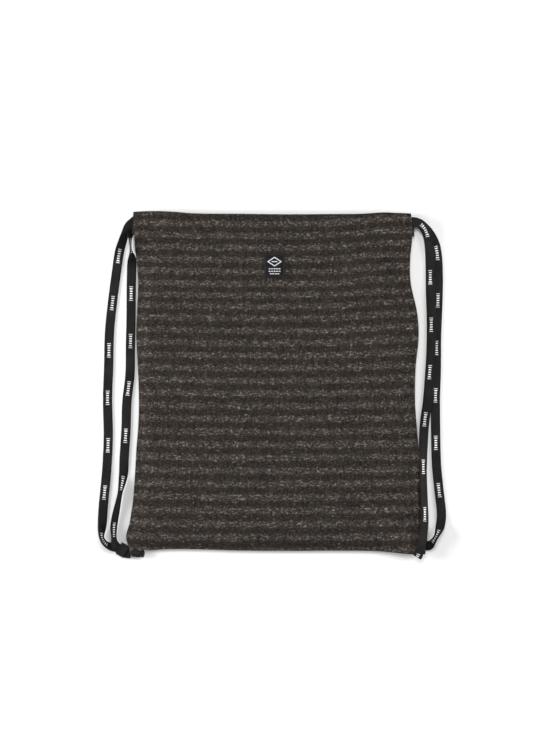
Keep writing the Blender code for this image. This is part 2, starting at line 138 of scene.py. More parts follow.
# Folds of the front panel: from one place to another, in shares of half the width and of the height
FOLDS = (
    # from_across, from_up, to_across, to_up, height, half_width
    (-0.78, 0.90, -0.30, 0.62, 0.0011, 0.017),
    (0.80, 0.90, 0.42, 0.66, 0.0012, 0.018),
    (0.88, 0.64, 0.35, 0.52, 0.0012, 0.022),
    (-0.86, 0.52, -0.40, 0.44, -0.0010, 0.020),
    (0.86, 0.76, 0.50, 0.80, -0.0012, 0.014),
    (0.92, 0.30, 0.48, 0.14, 0.0011, 0.018),
    (0.66, 0.03, 0.52, 0.34, -0.0010, 0.015),
    (-0.90, 0.06, -0.52, 0.26, 0.0010, 0.017),
    (-0.15, 0.40, 0.20, 0.16, -0.0008, 0.030),
)

# Routes of the free tape, from each corner's knot up to the mouth.
# heading and lean turn the tape's width: a lean of 0 is flat and 90 is on its edge
LEFT_OUTER = (
    # x, y, z, heading, lean
    (-0.1831, -0.2189, 0.0029, 260, 0),
    (-0.1881, -0.2190, 0.0019, 249, 0),
    (-0.1930, -0.2157, 0.0020, 240, 0),
    (-0.1996, -0.2119, 0.0020, 242, 0),
    (-0.2048, -0.2106, 0.0029, 262, 18),
    (-0.2104, -0.2092, 0.0046, 250, 45),
    (-0.2160, -0.2050, 0.0052, 224, 60),
    (-0.2198, -0.1965, 0.0052, 195, 60),
    (-0.2190, -0.1815, 0.0028, 182, 22),
    (-0.2176, -0.1555, 0.0013, 180, 0),
    (-0.2134, -0.1116, 0.0013, 180, 0),
    (-0.2114, -0.0678, 0.0013, 180, 0),
    (-0.2123, -0.0213, 0.0013, 180, 0),
    (-0.2109, 0.0225, 0.0013, 180, 0),
    (-0.2098, 0.0664, 0.0013, 180, 0),
    (-0.2056, 0.1077, 0.0013, 180, 0),
    (-0.2008, 0.1438, 0.0013, 180, 0),
    (-0.1972, 0.1683, 0.0018, 178, 8),
    (-0.1933, 0.1815, 0.0040, 166, 26),
    (-0.1893, 0.1925, 0.0066, 155, 38),
    (-0.1850, 0.2015, 0.0080, 132, 24),
    (-0.1800, 0.2064, 0.0077, 98, 4),
)
LEFT_INNER = (
    (-0.1831, -0.2189, 0.0041, 260, 0),
    (-0.1881, -0.2190, 0.0031, 249, 0),
    (-0.1930, -0.2157, 0.0032, 240, 0),
    (-0.1996, -0.2119, 0.0032, 238, 0),
    (-0.2028, -0.2070, 0.0046, 216, 30),
    (-0.2038, -0.1985, 0.0058, 195, 60),
    (-0.2040, -0.1839, 0.0048, 182, 44),
    (-0.2009, -0.1658, 0.0048, 167, 46),
    (-0.1956, -0.1400, 0.0056, 167, 62),
    (-0.1917, -0.1168, 0.0026, 173, 18),
    (-0.1909, -0.0962, 0.0013, 178, 0),
    (-0.1886, -0.0600, 0.0013, 180, 0),
    (-0.1874, -0.0239, 0.0013, 180, 0),
    (-0.1834, 0.0122, 0.0013, 180, 0),
    (-0.1828, 0.0483, 0.0013, 180, 0),
    (-0.1820, 0.0844, 0.0013, 180, 0),
    (-0.1818, 0.1206, 0.0013, 180, 0),
    (-0.1812, 0.1489, 0.0014, 180, 4),
    (-0.1808, 0.1600, 0.0036, 180, 32),
    (-0.1816, 0.1700, 0.0064, 180, 78),
    (-0.1824, 0.1800, 0.0066, 180, 84),
    (-0.1830, 0.1890, 0.0058, 170, 66),
    (-0.1828, 0.1975, 0.0036, 148, 18),
    (-0.1818, 0.2045, 0.0026, 114, 2),
    (-0.1786, 0.2084, 0.0021, 93, 0),
)
RIGHT_OUTER = (
    (0.1866, -0.2063, 0.0026, -108, 0),
    (0.1922, -0.2079, 0.0020, -105, 0),
    (0.1992, -0.2096, 0.0020, -103, 0),
    (0.2046, -0.2072, 0.0035, -62, 30),
    (0.2086, -0.2012, 0.0052, -45, 60),
    (0.2122, -0.1950, 0.0050, -28, 60),
    (0.2165, -0.1835, 0.0026, -8, 20),
    (0.2181, -0.1658, 0.0013, 0, 0),
    (0.2147, -0.1349, 0.0013, 0, 0),
    (0.2116, -0.1013, 0.0013, 0, 0),
    (0.2107, -0.0626, 0.0013, 0, 0),
    (0.2104, -0.0213, 0.0013, 0, 0),
    (0.2116, 0.0199, 0.0013, 0, 0),
    (0.2119, 0.0612, 0.0013, 0, 0),
    (0.2135, 0.1025, 0.0013, 0, 0),
    (0.2141, 0.1412, 0.0013, 0, 0),
    (0.2122, 0.1700, 0.0013, 5, 2),
    (0.2076, 0.1850, 0.0016, 20, 4),
    (0.2010, 0.1955, 0.0022, 36, 4),
    (0.1935, 0.2030, 0.0030, 56, 3),
    (0.1856, 0.2078, 0.0032, 80, 0),
)
RIGHT_INNER = (
    (0.1886, -0.2172, 0.0058, -32, 0),
    (0.1872, -0.2206, 0.0058, -32, 0),
    (0.1860, -0.2231, 0.0090, -32, 0),
    (0.1871, -0.2211, 0.0125, -31, 0),
    (0.1900, -0.2132, 0.0137, -28, -6),
    (0.1926, -0.2030, 0.0136, -14, -18),
    (0.1951, -0.1865, 0.0108, -3, -27),
    (0.1962, -0.1684, 0.0072, 0, -34),
    (0.1954, -0.1426, 0.0056, 0, -38),
    (0.1944, -0.1116, 0.0044, 0, -33),
    (0.1948, -0.0807, 0.0027, 0, -16),
    (0.1962, -0.0523, 0.0014, 0, 0),
    (0.2000, -0.0239, 0.0021, 0, 8),
    (0.2027, 0.0096, 0.0024, 0, 11),
    (0.2047, 0.0457, 0.0026, 0, 14),
    (0.2050, 0.0844, 0.0025, 0, 12),
    (0.2039, 0.1206, 0.0022, 0, 9),
    (0.2036, 0.1515, 0.0023, 0, 9),
    (0.2026, 0.1740, 0.0034, 3, 12),
    (0.2002, 0.1895, 0.0058, 14, 14),
    (0.1958, 0.1995, 0.0078, 36, 10),
    (0.1902, 0.2052, 0.0086, 66, 5),
    (0.1842, 0.2068, 0.0088, 84, 2),
)
HIDDEN_KNOT_AT = (0.1771, -0.2032)
HIDDEN_KNOT_HEADING = -20
LEFT_KNOT_AT = (-0.1742, -0.2186)
LEFT_KNOT_HEADING = -4
LEFT_TAB_AT = (-0.1886, -0.2078)
LEFT_TAB_HEADING = 240
RIGHT_TAB_AT = (0.1900, -0.2160)
RIGHT_TAB_HEADING = 75

# Finish of the cloth sheets
KNIT = 0.0011
SHEET_STEP = 0.0034
SHEET_EASE = 0.25
EDGE_EASE = 0.4
SEAM_ROLL = 0.0006
SEAM_ALLOWANCE = 0.004
# Rows of the rolled edge: how far in from the turn, and the angle of the turn
SEAM_ROWS = [(SEAM_ALLOWANCE, pi)] + [(0, radians(a)) for a in (180, 150, 120, 90, 60, 30)]
ROLL_REACH = 0.005
HEM_ROWS = 12
HEM_TURN = 6
HEM_TAIL = 0.003
HEM_SMALL_SHARE = 0.2
HEM_CALM = 0.6
STITCH_DIP = 0.0005
STITCH_DIP_REACH = 0.0026
PRESSED = 1.04 * KNIT
PINCH = 0.0030
UNDULATION = 0.0007
UNDULATION_SHOULDER = 0.03
UNDULATIONS = (
    # bumps per metre across and up the cloth, step of the seed, share of the height
    (13, 13, 0, 1.0),
    (36, 30, 7, 0.45),
    (95, 80, 13, 0.16),
)
PUCKER = 0.00035
PUCKER_PITCH = 0.0105
PUCKER_REACH = 0.007
PUCKER_WANDER = 2.2
BACK_GATHERS = 0.6
# The noise of each sheet
FRONT_SEED = 4.0
BACK_SEED = 31.0

# Stripes of the knit: the first one's middle and the last one's, and how their pitch grows downwards
STRIPE_TOP = 0.2096
STRIPE_BOTTOM = -0.1955
STRIPE_GAPS = 25
STRIPE_GROWTH = 0.0629
# Where the stripes stray: raised at the upper right, sagging at the middle, lower near the mouth
STRIPE_LIFT = 0.0050
STRIPE_LIFT_ACROSS = (0.3, 0.85)
STRIPE_LIFT_UP = (-0.06, 0.14)
STRIPE_SAG = 0.0024
STRIPE_DROP = 0.0026
STRIPE_DROP_UP = (0.095, 0.125)

# Sewing thread
STITCH_PITCH = 0.0033
STITCH_LENGTH = 0.0024
THREAD_WIDTH = 0.0009
THREAD_HEIGHT = 0.00072
HEM_STITCHED_WIDTH = 0.93 * BAG_WIDTH
HEM_STITCHED_SHARE = 0.985

# Finish of the label, its sewing and its motif
PATCH = 0.0007
PATCH_CELLS = 26
PATCH_BELOW_TOP = 0.0003
PATCH_EDGE = 0.1
PATCH_SINK = 0.00025
PATCH_WAVE = 0.00012
PATCH_CORNER_PULL = 0.3
PATCH_STITCH_PITCH = 0.0024
PATCH_STITCH_INSET = 0.0011
LOZENGE_RADII = (0.0094, 0.0074)
LOZENGE_SQUASH = 0.66
LOZENGE_UP = 0.0048
LOZENGE_BAR = 0.0070
BAR_PITCH = 0.0032
BAR_LENGTH = 0.0023
BAR_HEIGHT = 0.0011
BAR_ROWS = (
    # up from the label's middle, bars in the row
    (-0.0044, 5),
    (-0.0076, 5),
    (-0.0108, 4),
)
MOTIF_BELOW_TOP = 0.0001
MOTIF_RELIEF = 0.00012

# Finish of the knots, whose tape is pulled narrow and thick
WOUND_TAPE = {"width": 0.0054, "thick": 0.0012}
WOUND_TURNS = 2.2
WOUND_STATIONS = 60
WOUND_INSET = 0.0010
WOUND_END_ROOM = 0.0085
WOUND_SLANT = 0.22
# Its two short ends: where they start and how far they run, along the knot and aside from it
END_TAPE = {"width": 0.0056, "thick": 0.0009}
END_STATIONS = 12
END_START = (0.0030, 0.0006)
END_RUN = (0.0062, 0.0020)
END_TIP_HEIGHT = 0.0018
ENDS_APART = 0.0008
END_SLANT = 0.3
# Its core, narrower than the knot along, across and up, in plain tape without marks
CORE_INSETS = (0.0010, 0.0022, 0.0026)
CORE_ACROSS = 0.03

# Finish of the tape
STATION_STEP = 0.0026
RING_FLAT = 8
TUNNEL_ROWS = 22
TAB_ROWS = 6
TAB_TURN = 8
MARK_PLACES = {
    # cord: world y of a mark's middle on the strand it starts with and on the one it ends with
    "left": (0.1649, 0.1167),
    "right": (0.1360, 0.1683),
}
# Lanes in a tunnel, as shares of its depth: where a tape comes in, and where it turns round at the far end
NEAR_FAR_LANES = (0.75, -0.10)

# Camera and studio
CAMERA_AT = (0.0068, 0.0109, 2.6875)
CAMERA_LENS = 100
FLOOR_SIZE = 4.0
LAMP_SIZE = 0.9
LAMP_AWAY = 2.0
LAMPS = (
    # name, heading, height above the floor in degrees, share of the lamp power
    ("lamp_left", 180, 17, 1.25),
    ("lamp_right", 0, 17, 0.75),
    ("lamp_far", 90, 62, 0.42),
    ("lamp_near", 270, 62, 0.08),
)


def smooth(share):
    """0 to 1 with level ends."""
    share = min(1.0, max(0.0, share))
    return share * share * (3 - 2 * share)


def along(rows, at, column):
    """A column of a table read at a value of its first column, on a smooth curve through its rows."""
    last = len(rows) - 2
    k = max(0, min(last, sum(row[0] <= at for row in rows) - 1))
    before, start = rows[max(k - 1, 0)], rows[k]
    end, after = rows[k + 1], rows[min(k + 2, last + 1)]
    span = end[0] - start[0]
    t = min(1.0, max(0.0, (at - start[0]) / span))
    rise_in = (end[column] - before[column]) / (end[0] - before[0]) * span
    rise_out = (after[column] - start[column]) / (after[0] - start[0]) * span
    return (
        (2 * t**3 - 3 * t**2 + 1) * start[column]
        + (t**3 - 2 * t**2 + t) * rise_in
        + (3 * t**2 - 2 * t**3) * end[column]
        + (t**3 - t**2) * rise_out
    )


def end_line(across, column, base):
    share = along(ENDS, across, column)
    return BAG_MIDDLE_Y + base * BAG_HEIGHT / 2 + share * BAG_HEIGHT


def foot_y(across):
    return end_line(across, 1, -1)


def mouth_y(across):
    return end_line(across, 2, 1)


def edge_x(across, y):
    """World x of a place across the bag, -1 its left edge and 1 its right one."""
    up = (y - foot_y(across)) / (mouth_y(across) - foot_y(across))
    left, right = along(SIDES, up, 1), along(SIDES, up, 2)
    middle, half = (left + right) / 2, (right - left) / 2
    return BAG_MIDDLE_X + (middle + across * half) * BAG_WIDTH / 2


def peek(is_front):
    """How far a sheet's mouth stands past the front one's."""
    return 0 if is_front else BACK_PEEK


def from_mouth(across, y):
    return mouth_y(across) - y


def hem_share(across, y, reach):
    """1 in the hem, fading to 0 over the reach below it."""
    return smooth(1 - (from_mouth(across, y) - HEM_DEPTH) / reach)


def thickness(across, y):
    """Of one panel: a single cloth, or the whole hem with its tunnel."""
    return CLOTH + (HEM_STACK - CLOTH) * hem_share(across, y, HEM_STEP)


def seam_height(across, y):
    """Of the middle of the side seam, which climbs to meet the back hem's top."""
    body = SEAM_RISE + CLOTH + SEAM_GAP / 2
    hem = HEM_STACK + SEAM_GAP / 2
    return body + (hem - body) * hem_share(across, y, HEM_BLEND)


def rise(across, y, side, bottom):
    """0 at the sewn edges and 1 past the shoulders."""
    side_share = min(1.0, (1 - abs(across)) * BAG_WIDTH / 2 / side)
    bottom_share = min(1.0, max(0.0, y - foot_y(across)) / bottom)
    return sin(pi / 2 * side_share) * sin(pi / 2 * bottom_share)


def folds(across, y):
    up = (y - foot_y(across)) / BAG_HEIGHT
    here = Vector((across * BAG_WIDTH / 2, up * BAG_HEIGHT))
    height = 0
    for across_a, up_a, across_b, up_b, tall, half_width in FOLDS:
        start = Vector((across_a * BAG_WIDTH / 2, up_a * BAG_HEIGHT))
        run = Vector((across_b * BAG_WIDTH / 2, up_b * BAG_HEIGHT)) - start
        share = max(0.0, min(1.0, (here - start).dot(run) / run.length_squared))
        off = (here - start - run * share).length
        height += tall * sin(pi * (0.15 + 0.7 * share)) * smooth(1 - off / (2 * half_width))
    return height


def corner_lift(x, y):
    """The right bottom corner rests on the knot beneath it."""
    off = hypot(x - HIDDEN_KNOT_AT[0], y - HIDDEN_KNOT_AT[1]) / LIFT_REACH
    return CORNER_LIFT * cos(pi / 2 * min(1.0, off)) ** 2


def front_top(across, y):
    x = edge_x(across, y)
    hem = hem_share(across, y, HEM_BLEND)
    shoulder = FRONT_SHOULDER + (HEM_SHOULDER - FRONT_SHOULDER) * hem
    share = rise(across, y, shoulder, FRONT_SHOULDER)
    edge = seam_height(across, y) + SEAM_GAP / 2 + thickness(across, y)
    middle = PUFF + (HEM_TOP - PUFF) * hem + folds(across, y) * (1 - hem)
    return edge + (middle - edge) * share + corner_lift(x, y) * (1 - share)


def back_bottom(across, y):
    x = edge_x(across, y)
    share = rise(across, y, BACK_SHOULDER, BACK_SHOULDER)
    edge = seam_height(across, y) - SEAM_GAP / 2 - thickness(across, y)
    return edge * (1 - share) + corner_lift(x, y)


def tunnel_floor(across, y, is_front):
    """Height of the lower cloth's inner face in a hem."""
    if is_front:
        return front_top(across, y) - HEM_STACK + CLOTH
    return back_bottom(across, y) + CLOTH


def hairpin(front_row, back_row, side):
    """Rows of the turn round the end of the hem, from the front tunnel to the back one."""
    middle_z = (front_row[2] + back_row[2]) / 2
    reach = (front_row[2] - back_row[2]) / 2
    turn_x = edge_x(side, front_row[1]) + side * TAPE_CLEARANCE
    rows = []
    for angle in (60, 20, -20, -60):
        share = (1 - sin(radians(angle))) / 2
        y = front_row[1] + (back_row[1] - front_row[1]) * share
        x = turn_x + side * reach * cos(radians(angle))
        rows.append((x, y, middle_z + reach * sin(radians(angle)), 90, 0))
    return rows


def cloth_settings():
    return bpy.context.scene.gymsack_cloth


def tape_settings():
    return bpy.context.scene.gymsack_tape


# Shader helpers


class Finish:
    """A material being wired up, one node at a time."""

    def __init__(self, name, roughness, shine):
        self.material = bpy.data.materials.new(name)
        self.material.use_nodes = True
        self.tree = self.material.node_tree
        self.surface = self.tree.nodes["Principled BSDF"]
        self.surface.inputs["Roughness"].default_value = roughness
        self.surface.inputs["Specular IOR Level"].default_value = shine

    def feed(self, socket, value):
        if isinstance(value, bpy.types.NodeSocket):
            self.tree.links.new(value, socket)
        else:
            socket.default_value = value

    def node(self, kind, inputs, **settings):
        made = self.tree.nodes.new("ShaderNode" + kind)
        for key, value in settings.items():
            setattr(made, key, value)
        for key, value in inputs.items():
            self.feed(made.inputs[key], value)
        return made

    def math(self, operation, *values):
        return self.node("Math", dict(enumerate(values)), operation=operation).outputs[0]

    def product(self, first, *others):
        for other in others:
            first = self.math("MULTIPLY", first, other)
        return first

    def total(self, first, *others):
        for other in others:
            first = self.math("ADD", first, other)
        return first

    def wave(self, along, pitch):
        """A sine from 0 to 1 with this pitch."""
        angle = self.math("MULTIPLY", along, 2 * pi / pitch)
        return self.math("MULTIPLY_ADD", self.math("SINE", angle), 0.5, 0.5)

    def ramp(self, value, low, high, to_low=0.0, to_high=1.0):
        inputs = {0: value, 1: low, 2: high, 3: to_low, 4: to_high}
        return self.node("MapRange", inputs, interpolation_type="SMOOTHSTEP").outputs[0]

    def place(self, x, y, z=0.0):
        return self.node("CombineXYZ", {0: x, 1: y, 2: z}).outputs[0]

    def noise(self, place, detail=2.0, scale=1.0):
        inputs = {"Vector": place, "Scale": scale, "Detail": detail, "Roughness": 0.55}
        return self.node("TexNoise", inputs).outputs["Fac"]

    def grain(self, u, v, across, along, detail=2.0):
        """Noise with this many specks per metre each way."""
        u = self.math("MULTIPLY", u, across)
        return self.noise(self.place(u, self.math("MULTIPLY", v, along)), detail)

    def tinted(self, colour, tone):
        return self.node("HueSaturation", {"Color": colour, "Value": tone}).outputs[0]

    def mix(self, share, first, second):
        inputs = {0: share, 6: first, 7: second}
        return self.node("Mix", inputs, data_type="RGBA").outputs[2]

    def uv(self, name):
        split = self.node("SeparateXYZ", {0: self.node("UVMap", {}, uv_map=name).outputs[0]})
        return split.outputs[0], split.outputs[1]

    def xyz(self):
        place = self.node("TexCoord", {}).outputs["Object"]
        return self.node("SeparateXYZ", {0: place}).outputs

    def done(self, colour, height, distance):
        self.feed(self.surface.inputs["Base Color"], colour)
        inputs = {"Height": height, "Distance": distance, "Strength": 1.0}
        self.feed(self.surface.inputs["Normal"], self.node("Bump", inputs).outputs[0])
        return self.material


def rgba(colour):
    return (*colour[:3], 1.0)


def knit_finish():
    """Melange jersey: each course its own streaky yarn, in soft light and dark cross stripes, with painted
    shade between the stitches' loops.
    """
    setting = cloth_settings()
    f = Finish("melange_knit", 0.92, shine=0.05)
    u, v = f.uv("cloth")
    wale, course = setting.wale, setting.course
    beside = f.math("SUBTRACT", f.math("FRACT", f.math("DIVIDE", u, wale)), 0.5)
    leg = f.math("MULTIPLY", f.math("ABSOLUTE", beside), 2.0)
    rise = f.math("MULTIPLY_ADD", leg, 0.55, f.math("DIVIDE", v, course))
    row = f.math("FLOOR", rise)
    across_row = f.math("SUBTRACT", f.math("FRACT", rise), 0.5)
    loop = f.math("COSINE", f.math("MULTIPLY", across_row, pi))
    stitch = f.product(loop, f.math("MULTIPLY_ADD", f.product(leg, leg), -0.75, 1.0))

    yarn = f.grain(u, row, 290.0, 7.31, 1.5)
    slub = f.grain(u, v, 115.0, 420.0)
    mottle = f.grain(u, v, 17.0, 30.0)
    ragged = f.grain(u, row, 60.0, 0.37)

    shift = f.math("MULTIPLY", f.math("SUBTRACT", ragged, 0.5), setting.stripe_wander)
    phase = f.math("DIVIDE", f.math("ADD", v, shift), setting.stripe_pitch)
    band = f.math("COSINE", f.math("MULTIPLY", phase, 2 * pi))
    band = f.ramp(band, -0.75, 0.75)

    base = f.mix(band, rgba(setting.dark), rgba(setting.light))
    edge = f.math("MULTIPLY_ADD", band, -0.085, 0.555)
    flecks = f.ramp(f.math("MULTIPLY_ADD", slub, 0.5, f.math("MULTIPLY", yarn, 0.5)), edge, 0.70)
    cell = f.place(f.math("FLOOR", f.math("DIVIDE", u, wale)), row)
    loose = f.node("TexWhiteNoise", {"Vector": cell}).outputs["Value"]
    share = f.product(flecks, f.math("MULTIPLY_ADD", band, 0.42, 0.36), f.math("ADD", loose, 0.5))
    colour = f.mix(share, base, rgba(setting.fleck))
    wales = f.grain(u, v, 480.0, 40.0, 1.0)
    streak, wale_tone = f.ramp(yarn, 0.33, 0.67), f.ramp(wales, 0.3, 0.7)
    tone = f.total(f.product(streak, 0.85), f.product(wale_tone, 0.30), f.product(loose, 0.40))
    tone = f.total(tone, f.product(mottle, 0.3), 0.12)
    # painted shade: the tone is darker where the stitches' loops are low, in the gaps between them
    tone = f.product(tone, f.math("MULTIPLY_ADD", stitch, 0.7, 0.6))
    dyed_and_shaded = f.tinted(colour, tone)
    height = f.math("MULTIPLY_ADD", yarn, 0.35, stitch)
    return f.done(dyed_and_shaded, height, setting.relief)


def tape_finish():
    """Flat woven tape: fine ribs, firm edges, and a ladder of light woven bars along one face, with
    painted shade in the ribs' grooves and a painted sheen down its middle.
    """
    setting = tape_settings()
    f = Finish("woven_tape", 0.6, shine=0.10)
    u, v = f.uv("tape")
    across = f.math("ABSOLUTE", u)
    ribs = f.wave(f.math("MULTIPLY_ADD", across, 0.55, v), setting.rib)
    warp = f.wave(u, setting.rib * 0.8)
    edge = f.ramp(across, TAPE_WIDTH / 2 - 0.0011, TAPE_WIDTH / 2 - 0.0006)
    yarn = f.grain(u, v, 900.0, 500.0)
    wear = f.grain(u, v, 60.0, 45.0)

    pitch, half = setting.mark_pitch, setting.mark_length / 2
    turn = f.math("FRACT", f.math("MULTIPLY_ADD", v, 1 / pitch, 0.5))
    off = f.math("MULTIPLY", f.math("SUBTRACT", turn, 0.5), pitch)
    far = f.math("ABSOLUTE", off)
    step = setting.mark_length / 6
    bar = f.wave(f.math("ADD", off, step / 4), step)
    inside = f.ramp(far, half + 0.0003, half - 0.0003)
    tall = f.ramp(far, half - step, half - step * 0.8, setting.mark_width * 0.36, setting.mark_width / 2)
    low = f.ramp(f.math("SUBTRACT", across, tall), 0.0003, -0.0003)
    mark = f.product(inside, low, f.ramp(bar, 0.38, 0.62))

    black = f.mix(edge, rgba(setting.colour), rgba([c * 1.35 for c in setting.colour]))
    colour = f.mix(mark, black, rgba(setting.mark_colour))
    # painted sheen: a lighter band down the middle of the tape
    painted_sheen = f.ramp(across, TAPE_WIDTH / 2, TAPE_WIDTH / 5)
    # painted shade: the ribs make the tone darker in their grooves, where their relief is low; the yarn
    # and wear noise are the tape's own tone
    light = f.total(f.product(ribs, 0.4), f.product(yarn, 0.6), f.product(f.ramp(wear, 0.3, 0.7), 0.5))
    tone = f.total(light, f.product(painted_sheen, 0.25), -0.05)
    colour = f.tinted(colour, tone)
    height = f.total(f.product(ribs, 0.6), f.product(warp, 0.35), f.product(mark, 0.5), edge)
    return f.done(colour, height, 0.00018)


def thread_finish(name, colour):
    """Twisted sewing thread on Object coordinates, with painted shade in the grooves of its twist."""
    f = Finish(name, 0.6, shine=0.15)
    x, y, z = f.xyz()
    twist = f.wave(f.total(x, f.math("MULTIPLY", y, 0.6), z), 0.0005)
    fuzz = f.noise(f.place(x, y, z), 2.0, 1800.0)
    # painted shade: darker in the grooves of the twist, where its relief is low
    tone = f.total(f.product(twist, 0.35), f.product(fuzz, 0.5), 0.55)
    dyed_and_shaded = f.tinted(rgba(colour), tone)
    return f.done(dyed_and_shaded, twist, 0.00012)


def label_finish(colour):
    """Fine satin weave with a folded edge, with painted shade in the grooves between its ribs."""
    f = Finish("label_weave", 0.5, shine=0.10)
    x, y, _ = f.xyz()
    ribs = f.wave(y, 0.00055)
    warp = f.wave(f.math("MULTIPLY_ADD", y, 0.5, x), 0.00045)
    yarn = f.grain(x, y, 900.0, 1500.0)
    # painted shade: the ribs and warp make the tone darker in their grooves; the yarn noise is the label's
    # own tone
    tone = f.total(f.product(ribs, 0.3), f.product(warp, 0.2), f.product(yarn, 0.7), 0.35)
    dyed_and_shaded = f.tinted(rgba(colour), tone)
    return f.done(dyed_and_shaded, f.total(ribs, f.product(warp, 0.6)), 0.00010)


# Mesh helpers


def grid_of(columns, rows):
    """A flat grid of this many cells, and its vertices as a list for each row."""
    bm = bmesh.new()
    bmesh.ops.create_grid(bm, x_segments=columns, y_segments=rows, size=1)
    ordered = sorted(bm.verts, key=lambda v: (round(v.co.y, 5), round(v.co.x, 5)))
    width = columns + 1
    return bm, [ordered[k : k + width] for k in range(0, len(ordered), width)]


def mesh_of(name, bm):
    mesh = bpy.data.meshes.new(name)
    bm.to_mesh(mesh)
    bm.free()
    return mesh


def placed(name, data):
    """A new object in the scene."""
    obj = bpy.data.objects.new(name, data)
    bpy.context.scene.collection.objects.link(obj)
    return obj


def finished(name, bm, material):
    """The object of a mesh: smooth, in the scene, and riding on the sack."""
    mesh = mesh_of(name, bm)
    mesh.shade_smooth()
    mesh.materials.append(material)
    obj = placed(name, mesh)
    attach(obj, "root")
    return obj


def thicken(obj, thick, offset):
    """Gives an open sheet its thickness."""
    solid = obj.modifiers.new("thickness", "SOLIDIFY")
    solid.thickness = thick
    solid.offset = offset


def write_uv(bm, name, places):
    """A UV map from a place for each vertex."""
    layer = bm.loops.layers.uv.new(name)
    for face in bm.faces:
        for loop in face.loops:
            loop[layer].uv = places[loop.vert]


# Drawcords, knots and tabs


def catmull(rows, k, t):
    """One row read between two rows of a route, on a smooth curve."""
    before, start = rows[max(k - 1, 0)], rows[k]
    end, after = rows[k + 1], rows[min(k + 2, len(rows) - 1)]
    return [
        0.5
        * (
            2 * b
            + (c - a) * t
            + (2 * a - 5 * b + 4 * c - d) * t**2
            + (3 * b - a - 3 * c + d) * t**3
        )
        for a, b, c, d in zip(before, start, end, after)
    ]


def lowest(lean):
    """Height of a tape's middle that keeps its lower edge just off the floor."""
    return FLOOR_CLEARANCE + (abs(sin(lean)) * TAPE_WIDTH + abs(cos(lean)) * TAPE) / 2


def stations_of(rows):
    """Places and width directions along a route, close together."""
    fine = []
    for k in range(len(rows) - 1):
        span = (Vector(rows[k + 1][:3]) - Vector(rows[k][:3])).length
        count = ceil(span / STATION_STEP)
        fine += [catmull(rows, k, n / count) for n in range(count)]
    fine.append(list(rows[-1]))
    stations = []
    for x, y, z, heading, lean in fine:
        heading, lean = radians(heading), radians(lean)
        width = Vector((cos(heading) * cos(lean), sin(heading) * cos(lean), sin(lean)))
        stations.append((Vector((x, y, max(z, lowest(lean)))), width))
    return stations


def ring_profile(width, thick):
    """Points round a flat section with rounded edges."""
    half = width / 2 - thick / 2
    flat = [half * (2 * k / RING_FLAT - 1) for k in range(RING_FLAT + 1)]
    top = [(x, thick / 2) for x in flat]
    bottom = [(-x, -thick / 2) for x in flat]
    return top + [(width / 2, 0)] + bottom + [(-width / 2, 0)]


def ribbon(stations, alongs, width=TAPE_WIDTH, thick=TAPE):
    """A closed mesh of a flat tape swept along its stations, with its pattern's place at each."""
    points = ring_profile(width, thick)
    bm, grid = grid_of(len(points), len(stations) - 1)
    places = {}
    last = len(stations) - 1
    for row, (place, across) in enumerate(stations):
        tangent = (stations[min(row + 1, last)][0] - stations[max(row - 1, 0)][0]).normalized()
        across = (across - tangent * across.dot(tangent)).normalized()
        up = across.cross(tangent)
        for column, vert in enumerate(grid[row]):
            x, z = points[column % len(points)]
            vert.co = place + across * x + up * z
            places[vert] = (x, alongs[row])
    write_uv(bm, "tape", places)
    bmesh.ops.remove_doubles(bm, verts=bm.verts, dist=thick / 100)
    open_edges = [e for e in bm.edges if e.is_boundary]
    bmesh.ops.holes_fill(bm, edges=open_edges, sides=0)
    bmesh.ops.recalc_face_normals(bm, faces=bm.faces)
    return bm


def arc_lengths(places):
    return list(accumulate(((b - a).length for a, b in zip(places, places[1:])), initial=0.0))


def mark_coordinate(places, marks, pitch):
    """Distance along a cord, eased so that woven marks fall at a place on each of its two strands."""
    run = arc_lengths(places)
    half = len(places) // 2
    first = min(range(half), key=lambda k: abs(places[k].y - marks[0]))
    second = min(range(half, len(places)), key=lambda k: abs(places[k].y - marks[1]))
    start, end = run[first], run[second]
    stretch = round((end - start) / pitch) * pitch / (end - start)
    return [
        s - start if s < start else (min(s, end) - start) * stretch + max(0.0, s - end)
        for s in run
    ]


def tunnel_route(from_share, to_share, is_front, level, rightwards):
    """Rows of a route through a tunnel, its lane as shares of the tunnel's depth at each end."""
    room = TUNNEL_DEPTH - TAPE_WIDTH - 2 * TAPE_CLEARANCE
    lift = TAPE_CLEARANCE + TAPE / 2 + level * (TAPE + TAPE_CLEARANCE)
    rows = []
    for k in range(1, TUNNEL_ROWS):
        across = sin(pi / 2 * (2 * k / TUNNEL_ROWS - 1))
        lane = from_share + (to_share - from_share) * (across + 1) / 2
        low = mouth_y(across) - HEM_DEPTH + CLOTH + TAPE_CLEARANCE + TAPE_WIDTH / 2
        y = low + lane * room + peek(is_front)
        rows.append((edge_x(across, y), y, tunnel_floor(across, y, is_front) + lift, 90, 0))
    return rows if rightwards else rows[::-1]


def drawcord(side, outer, inner, lane, level, material):
    """One whole loop of tape: up one strand, through both tunnels and down the other strand."""
    rightwards = side == "left"
    front = tunnel_route(*lane, True, level, rightwards)
    back = tunnel_route(*lane, False, level, not rightwards)
    turn = hairpin(front[-1], back[0], 1 if rightwards else -1)
    stations = stations_of(list(outer) + front + turn + back + list(inner)[::-1])
    places = [place for place, _ in stations]
    marks = mark_coordinate(places, MARK_PLACES[side], tape_settings().mark_pitch)
    cord = finished(side + "_tape", ribbon(stations, marks), material)
    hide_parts(side + "_drawcord")
    return cord, places


def unmarked(stations):
    """A coordinate along a short tape that runs to and fro between two woven marks."""
    pitch = tape_settings().mark_pitch
    reach = pitch / 4
    runs = arc_lengths([place for place, _ in stations])
    return [pitch / 2 + abs(s % (2 * reach) - reach) - reach / 2 for s in runs]


def heading_axes(heading):
    """Directions along a heading in degrees and to the left of it."""
    ahead = Vector((cos(radians(heading)), sin(radians(heading)), 0))
    return ahead, Vector((-ahead.y, ahead.x, 0))


